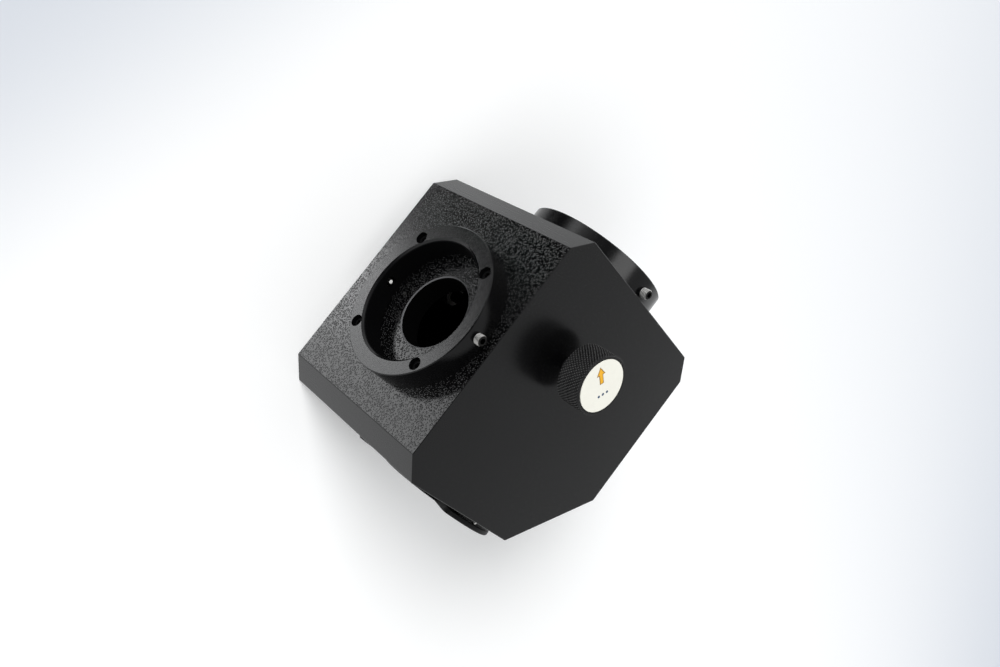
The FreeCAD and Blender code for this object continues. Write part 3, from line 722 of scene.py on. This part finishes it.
def threaded_screw(clamp, size, total):
    """Set screw along Z: its point at height 0, its key socket at the far end."""
    radius = size / 2
    core = radius - clamp.thread_depth
    turns = math.ceil(total / clamp.pitch) + 2
    steps = 40  # of one turn

    # Thread: a ridge swept along a helix, cut off level at both ends and chamfered there
    shape = bmesh.new()
    corners = [(core, -clamp.pitch), (radius, -clamp.pitch / 2), (core, 0)]
    points = [shape.verts.new((x, 0, z)) for x, z in corners]
    edges = [shape.edges.new(pair) for pair in zip(points, points[1:])]
    bmesh.ops.subdivide_edges(shape, edges=edges, cuts=2)
    bmesh.ops.spin(
        shape,
        geom=list(shape.verts) + list(shape.edges),
        axis=UP,
        cent=(0, 0, 0),
        dvec=(0, 0, clamp.pitch / steps),
        angle=math.tau * turns,
        steps=steps * turns,
        use_merge=False,
    )
    bmesh.ops.remove_doubles(shape, verts=shape.verts, dist=WELD)
    for height, inner, outer in ((0.0, True, False), (total, False, True)):
        bmesh.ops.bisect_plane(
            shape,
            geom=list(shape.verts) + list(shape.edges) + list(shape.faces),
            plane_co=(0, 0, height),
            plane_no=UP,
            clear_inner=inner,
            clear_outer=outer,
        )
    for vert in shape.verts:
        limit = min(radius - clamp.point + vert.co.z, radius - clamp.end_chamfer + total - vert.co.z)
        if vert.co.xy.length > limit:
            vert.co.xy *= limit / vert.co.xy.length
    bmesh.ops.remove_doubles(shape, verts=shape.verts, dist=WELD)

    # Ends: a flat point, and a hexagonal socket sunk into the other end
    rims = [edge for edge in shape.edges if edge.is_boundary]
    point_rim = [edge for edge in rims if edge.verts[0].co.z < total / 2]
    socket_rim = [edge for edge in rims if edge.verts[0].co.z > total / 2]
    bmesh.ops.contextual_create(shape, geom=point_rim)
    key = bmesh.ops.create_circle(
        shape,
        cap_ends=False,
        radius=clamp.socket / math.sqrt(3),
        segments=6,
        matrix=Matrix.Translation((0, 0, total)),
    )
    mouth = list({edge for vert in key["verts"] for edge in vert.link_edges})
    bmesh.ops.bridge_loops(shape, edges=socket_rim + mouth)
    wall = bmesh.ops.extrude_edge_only(shape, edges=mouth)["geom"]
    bmesh.ops.translate(shape, verts=corners_of(wall), vec=(0, 0, -clamp.socket_depth))
    bmesh.ops.contextual_create(shape, geom=[edge for edge in shape.edges if edge.is_boundary])
    bmesh.ops.recalc_face_normals(shape, faces=shape.faces)
    return shape


# Operators


class CouplerOperator(bpy.types.Operator):
    """One step of the dressing"""

    bl_options = {"REGISTER", "UNDO"}


class COUPLER_OT_housing(CouplerOperator):
    """Coat the block: satin top and chamfers, wrinkle paint on the large sides, matt paint inside"""

    bl_idname = "coupler.housing"
    bl_label = "Housing"

    def execute(self, context):
        dress("housing", block_coat(context.scene.coupler_coat))
        return {"FINISHED"}


class COUPLER_OT_base_plate(CouplerOperator):
    """Finish the base plate and its countersunk screws"""

    bl_idname = "coupler.base_plate"
    bl_label = "Base plate"

    def execute(self, context):
        metal = context.scene.coupler_metal
        dress("base_plate", anodised(metal, "base_plate_black", (0, 0, 0), "Z", lines=0.5))
        dress("base_plate_screws", black_oxide(metal))
        return {"FINISHED"}


class COUPLER_OT_port_rings(CouplerOperator):
    """Finish both lamp port rings and the screws in their counterbores"""

    bl_idname = "coupler.port_rings"
    bl_label = "Port rings"

    def execute(self, context):
        metal = context.scene.coupler_metal
        screws = black_oxide(metal)
        centre = (0, 0, LIGHT_AXIS.z)
        bore = RING_BORE + 0.3 * MM
        for port, axis in (("side", "X"), ("rear", "Y")):
            dress(port + "_ring", anodised(metal, port + "_ring_black", centre, axis, shine=0.4, bore=bore))
            dress(port + "_ring_screws", screws)
        return {"FINISHED"}


class COUPLER_OT_microscope_flange(CouplerOperator):
    """Finish the bayonet flange and its index pin"""

    bl_idname = "coupler.microscope_flange"
    bl_label = "Microscope flange"

    def execute(self, context):
        metal = context.scene.coupler_metal
        centre = (0, 0, LIGHT_AXIS.z)
        dress("microscope_flange", anodised(metal, "flange_black", centre, "Y", shine=0.2, matt=0.35))
        dress("index_pin", plated("pin_nickel", metal.nickel, roughness=0.2))
        return {"FINISHED"}


class COUPLER_OT_mirror(CouplerOperator):
    """Finish the mirror, its carrier and the carrier's screws"""

    bl_idname = "coupler.mirror"
    bl_label = "Mirror"

    def execute(self, context):
        metal = context.scene.coupler_metal
        dress("mirror_glass", mirror_coat())
        dress("mirror_carrier", anodised(metal, "carrier_black", KNOB_AXIS, "Z", lines=0.4))
        dress("carrier_screws", black_oxide(metal))
        return {"FINISHED"}


class COUPLER_OT_bearings(CouplerOperator):
    """Finish the shaft, bushes, washer, clip, spring and stop pins"""

    bl_idname = "coupler.bearings"
    bl_label = "Shaft and bearings"

    def execute(self, context):
        metal = context.scene.coupler_metal
        steel = plated("ground_steel", metal.steel, roughness=0.3)
        for node in ("in_beam_stop", "parked_stop", "retaining_clip", "friction_spring"):
            dress(node, steel)
        dress("mirror_shaft", black_oxide(metal))
        bearing = soft_plastic("bearing_plastic", metal.bearing)
        for node in ("upper_bush", "lower_bush"):
            dress(node, bearing)
        dress("thrust_washer", soft_plastic("washer_plastic", metal.washer))
        return {"FINISHED"}


class COUPLER_OT_knob(CouplerOperator):
    """Make the knurled knob and finish its set screw"""

    bl_idname = "coupler.knob"
    bl_label = "Knurled knob"

    def execute(self, context):
        metal = context.scene.coupler_metal
        knob = context.scene.coupler_knob
        shape = knurled_knob(knob)
        place = Vector((KNOB_AXIS.x, KNOB_AXIS.y, KNOB_LOW.z))
        bmesh.ops.translate(shape, verts=shape.verts, vec=place)
        radius = (KNOB_HIGH.x - KNOB_LOW.x) / 2
        coat = anodised(metal, "knob_black", place, "Z", lines=0.6, crest=radius)
        piece = add_piece("knurled_knob", shape, "mirror", coat)
        screw_low, screw_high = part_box("knob_set_screw")
        outward, inward = 5 * MM, 1 * MM
        middle = (screw_low + screw_high) / 2 + Vector(((outward - inward) / 2, 0, 0))
        depth = screw_high.x - screw_low.x + outward + inward
        drill(piece, middle, knob.screw_hole / 2, depth, Vector((1, 0, 0)))
        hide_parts("knob")
        dress("knob_set_screw", black_oxide(metal))
        return {"FINISHED"}


class COUPLER_OT_label(CouplerOperator):
    """Finish the label and print its arrow and plain dots"""

    bl_idname = "coupler.label"
    bl_label = "Label"

    def execute(self, context):
        label = context.scene.coupler_label
        dress("knob_label", plain_film("label_film", label.film, roughness=0.34))
        middle = Vector((KNOB_AXIS.x, KNOB_AXIS.y, LABEL_HIGH.z))
        turn = Matrix.Rotation(label.direction, 4, "Z")
        tail = middle + turn @ Vector((label.arrow_start, 0, 0))
        place = Matrix.Translation(tail) @ turn
        layers = (
            ("arrow_outline", label.outline_width, label.ink, label.arrow_edge),
            ("arrow_body", 0.0, 2 * label.ink, label.arrow),
        )
        for name, grow, thickness, color in layers:
            shape = flat_print(arrow_corners(label, grow), thickness, place)
            add_piece(name, shape, "mirror", plain_film(name + "_ink", color))
        dots = bmesh.new()
        for step in (-1, 0, 1):
            spot = middle + turn @ Vector((-label.dot_row, step * label.dot_spacing, label.ink / 2))
            add_round(dots, label.dot_size / 2, label.ink, Matrix.Translation(spot))
        add_piece("label_dots", dots, "mirror", plain_film("dot_ink", label.dots))
        return {"FINISHED"}


class COUPLER_OT_clamp_screws(CouplerOperator):
    """Make the four threaded clamp screws"""

    bl_idname = "coupler.clamp_screws"
    bl_label = "Clamp screws"

    def execute(self, context):
        metal = context.scene.coupler_metal
        clamp = context.scene.coupler_clamp
        # White finish of the tips in the screws' points: a painted glint
        soft = soft_plastic("tip_painted_glint", metal.glint_tip)
        for node in CLAMP_SCREWS:
            low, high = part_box(node)
            centre, size = (low + high) / 2, high.x - low.x
            thread = (centre, size / 2, clamp.thread_depth)
            nickel = plated(node + "_nickel", metal.nickel, 0.34, grain=0.5 * MM, thread=thread)
            shape = threaded_screw(clamp, size, high.z - low.z)
            if node.endswith("top"):
                place = Matrix.Translation((centre.x, centre.y, low.z))
            else:
                place = Matrix.Translation((centre.x, centre.y, high.z)) @ Matrix.Rotation(math.pi, 4, "X")
            bmesh.ops.transform(shape, matrix=place, verts=shape.verts)
            piece = add_piece(node + "_threaded", shape, node, nickel, smooth=math.radians(35))
            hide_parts(node)
            # White tip in the point: a painted glint
            tip = bmesh.new()
            radius, reach = clamp.tip / 2, clamp.tip_reach
            add_round(tip, radius, 4 * reach, place @ Matrix.Translation((0, 0, reach)), radius - reach)
            add_piece(node + "_tip", tip, node, soft)
        return {"FINISHED"}


class COUPLER_OT_stage(CouplerOperator):
    """Set up the floor, the lamps and the camera"""

    bl_idname = "coupler.stage"
    bl_label = "Stage"

    def execute(self, context):
        stage = context.scene.coupler_stage
        scene = context.scene
        scene.view_settings.view_transform = "Standard"

        ground = bmesh.new()
        bmesh.ops.create_grid(ground, x_segments=2, y_segments=2, size=FLOOR_REACH)
        mesh = bpy.data.meshes.new("studio_floor")
        ground.to_mesh(mesh)
        ground.free()
        mesh.materials.append(studio_floor(stage))
        floor = bpy.data.objects.new("studio_floor", mesh)
        floor.visible_glossy = False
        scene.collection.objects.link(floor)

        key = add_lamp("key_lamp", stage.key, stage.key_softness, stage.key_from)
        key.visible_diffuse = False
        side = add_lamp("side_lamp", stage.side, stage.side_softness, stage.side_from)
        side.visible_glossy = False
        fill = add_lamp("fill_lamp", stage.fill, stage.key_softness, stage.fill_from)
        fill.visible_glossy = False

        scene.world = studio_sky(stage)

        lens = bpy.data.cameras.new("camera")
        lens.lens = stage.lens
        lens.sensor_width = SENSOR_WIDTH
        lens.clip_start = 10 * MM
        lens.clip_end = 4 * FLOOR_REACH
        camera = bpy.data.objects.new("camera", lens)
        scene.collection.objects.link(camera)
        camera.location = stage.camera
        camera.rotation_euler = stage.camera_turn
        scene.camera = camera
        return {"FINISHED"}


def add_lamp(name, strength, softness, direction):
    """Distant lamp that shines from a direction."""
    light = bpy.data.lights.new(name, "SUN")
    light.energy = strength
    light.angle = softness
    lamp = bpy.data.objects.new(name, light)
    bpy.context.scene.collection.objects.link(lamp)
    lamp.rotation_mode = "QUATERNION"
    lamp.rotation_quaternion = Vector(direction).to_track_quat("Z", "Y")
    return lamp


def studio_floor(stage):
    """White floor, greyed by painted shade towards the picture's corners, that keeps the object's shadow."""
    finish = Finish("studio_floor", stage.floor, 0.9)
    finish.reflect(0.0)
    x, y, _ = finish.parts(finish.place)

    # Far floor colour, a painted shade: close to the camera, and away behind the rear port
    near = finish.calc("MULTIPLY_ADD", y, 0.25, finish.calc("MULTIPLY", x, -1.0))
    far = finish.calc("MULTIPLY_ADD", x, 0.35, y)
    grey = finish.calc("ADD", finish.ramp(near, 0.13, 0.26), finish.ramp(far, 0.0, 0.95), clamp=True)
    tone = finish.blend(grey, stage.floor, stage.floor_far)
    finish.paint(tone)

    # The camera sees the floor a little brighter than it lights the object
    seen = finish.node("ShaderNodeLightPath").outputs["Is Camera Ray"]
    glow = finish.node("ShaderNodeEmission")
    finish.wire(tone, glow.inputs["Color"])
    finish.wire(finish.calc("MULTIPLY", seen, stage.floor_lift), glow.inputs["Strength"])
    both = finish.node("ShaderNodeAddShader")
    finish.wire(finish.shader.outputs[0], both.inputs[0])
    finish.wire(glow.outputs[0], both.inputs[1])
    finish.wire(both.outputs[0], finish.tree.nodes["Material Output"].inputs["Surface"])
    return finish.material


def toward(azimuth, elevation):
    """Unit vector of a direction given in degrees."""
    turn, rise = math.radians(azimuth), math.radians(elevation)
    return (math.cos(rise) * math.cos(turn), math.cos(rise) * math.sin(turn), math.sin(rise))


def studio_sky(stage):
    """Surroundings: a white screen low down, dim overhead, with soft boxes and dark flags for reflections."""
    world = bpy.data.worlds.new("studio_sky")
    world.use_nodes = True
    sky = Pattern(world.node_tree, "Generated")
    height = sky.parts(sky.place)[2]

    def box(azimuth, elevation, inner, outer, brightness):
        """Round soft box, even inside the inner angle and faded out at the outer one."""
        near, far = math.cos(math.radians(inner)), math.cos(math.radians(outer))
        return sky.ramp(sky.along(sky.place, toward(azimuth, elevation)), far, near, 0.0, brightness)

    screen = sky.ramp(height, 0.1, 0.6, stage.sky_low, stage.sky_high)
    below = sky.ramp(height, -0.07, -0.02, 1.0, 0.0)
    edge = sky.ramp(sky.along(sky.place, LAMP_EDGE), -0.022, -0.002)
    lamps = sky.calc("ADD", *[box(*values) for values in LOW_LAMPS])
    parts = [
        sky.calc("MULTIPLY", lamps, edge),
        sky.calc("MULTIPLY", box(*LOW_FLAG), sky.calc("SUBTRACT", 1.0, edge)),
    ]
    parts += [box(*values) for values in SOFT_BOXES]
    parts += [sky.calc("MULTIPLY", below, box(*values)) for values in SUNK_FLAGS]
    total = screen
    for part in parts:
        total = sky.calc("ADD", total, part)
    background = world.node_tree.nodes["Background"]
    sky.wire(sky.calc("MAXIMUM", total, DARKEST_SKY), background.inputs["Strength"])
    background.inputs["Color"].default_value = (*stage.sky_tint, 1)
    return world


OPERATORS = (
    COUPLER_OT_stage,
    COUPLER_OT_housing,
    COUPLER_OT_base_plate,
    COUPLER_OT_port_rings,
    COUPLER_OT_microscope_flange,
    COUPLER_OT_mirror,
    COUPLER_OT_bearings,
    COUPLER_OT_knob,
    COUPLER_OT_label,
    COUPLER_OT_clamp_screws,
)


class COUPLER_PT_panel(bpy.types.Panel):
    """Sizes, colours and pieces of the coupler"""

    bl_label = "Lamphouse coupler"
    bl_space_type = "VIEW_3D"
    bl_region_type = "UI"
    bl_category = "Coupler"

    def draw(self, context):
        for name, group in SETTINGS.items():
            box = self.layout.box()
            box.label(text=group.__doc__)
            for key in group.__annotations__:
                box.prop(getattr(context.scene, name), key)
        for operator in OPERATORS:
            self.layout.operator(operator.bl_idname)


def register():
    for group in SETTINGS.values():
        bpy.utils.register_class(group)
    for name, group in SETTINGS.items():
        setattr(bpy.types.Scene, name, PointerProperty(type=group))
    for operator in OPERATORS:
        bpy.utils.register_class(operator)
    bpy.utils.register_class(COUPLER_PT_panel)


def unregister():
    bpy.utils.unregister_class(COUPLER_PT_panel)
    for operator in reversed(OPERATORS):
        bpy.utils.unregister_class(operator)
    for name, group in SETTINGS.items():
        delattr(bpy.types.Scene, name)
        bpy.utils.unregister_class(group)


def main():
    register()
    bpy.ops.coupler.stage()
    bpy.ops.coupler.housing()
    bpy.ops.coupler.base_plate()
    bpy.ops.coupler.port_rings()
    bpy.ops.coupler.microscope_flange()
    bpy.ops.coupler.mirror()
    bpy.ops.coupler.bearings()
    bpy.ops.coupler.knob()
    bpy.ops.coupler.label()
    bpy.ops.coupler.clamp_screws()


if __name__ == "__main__":
    main()
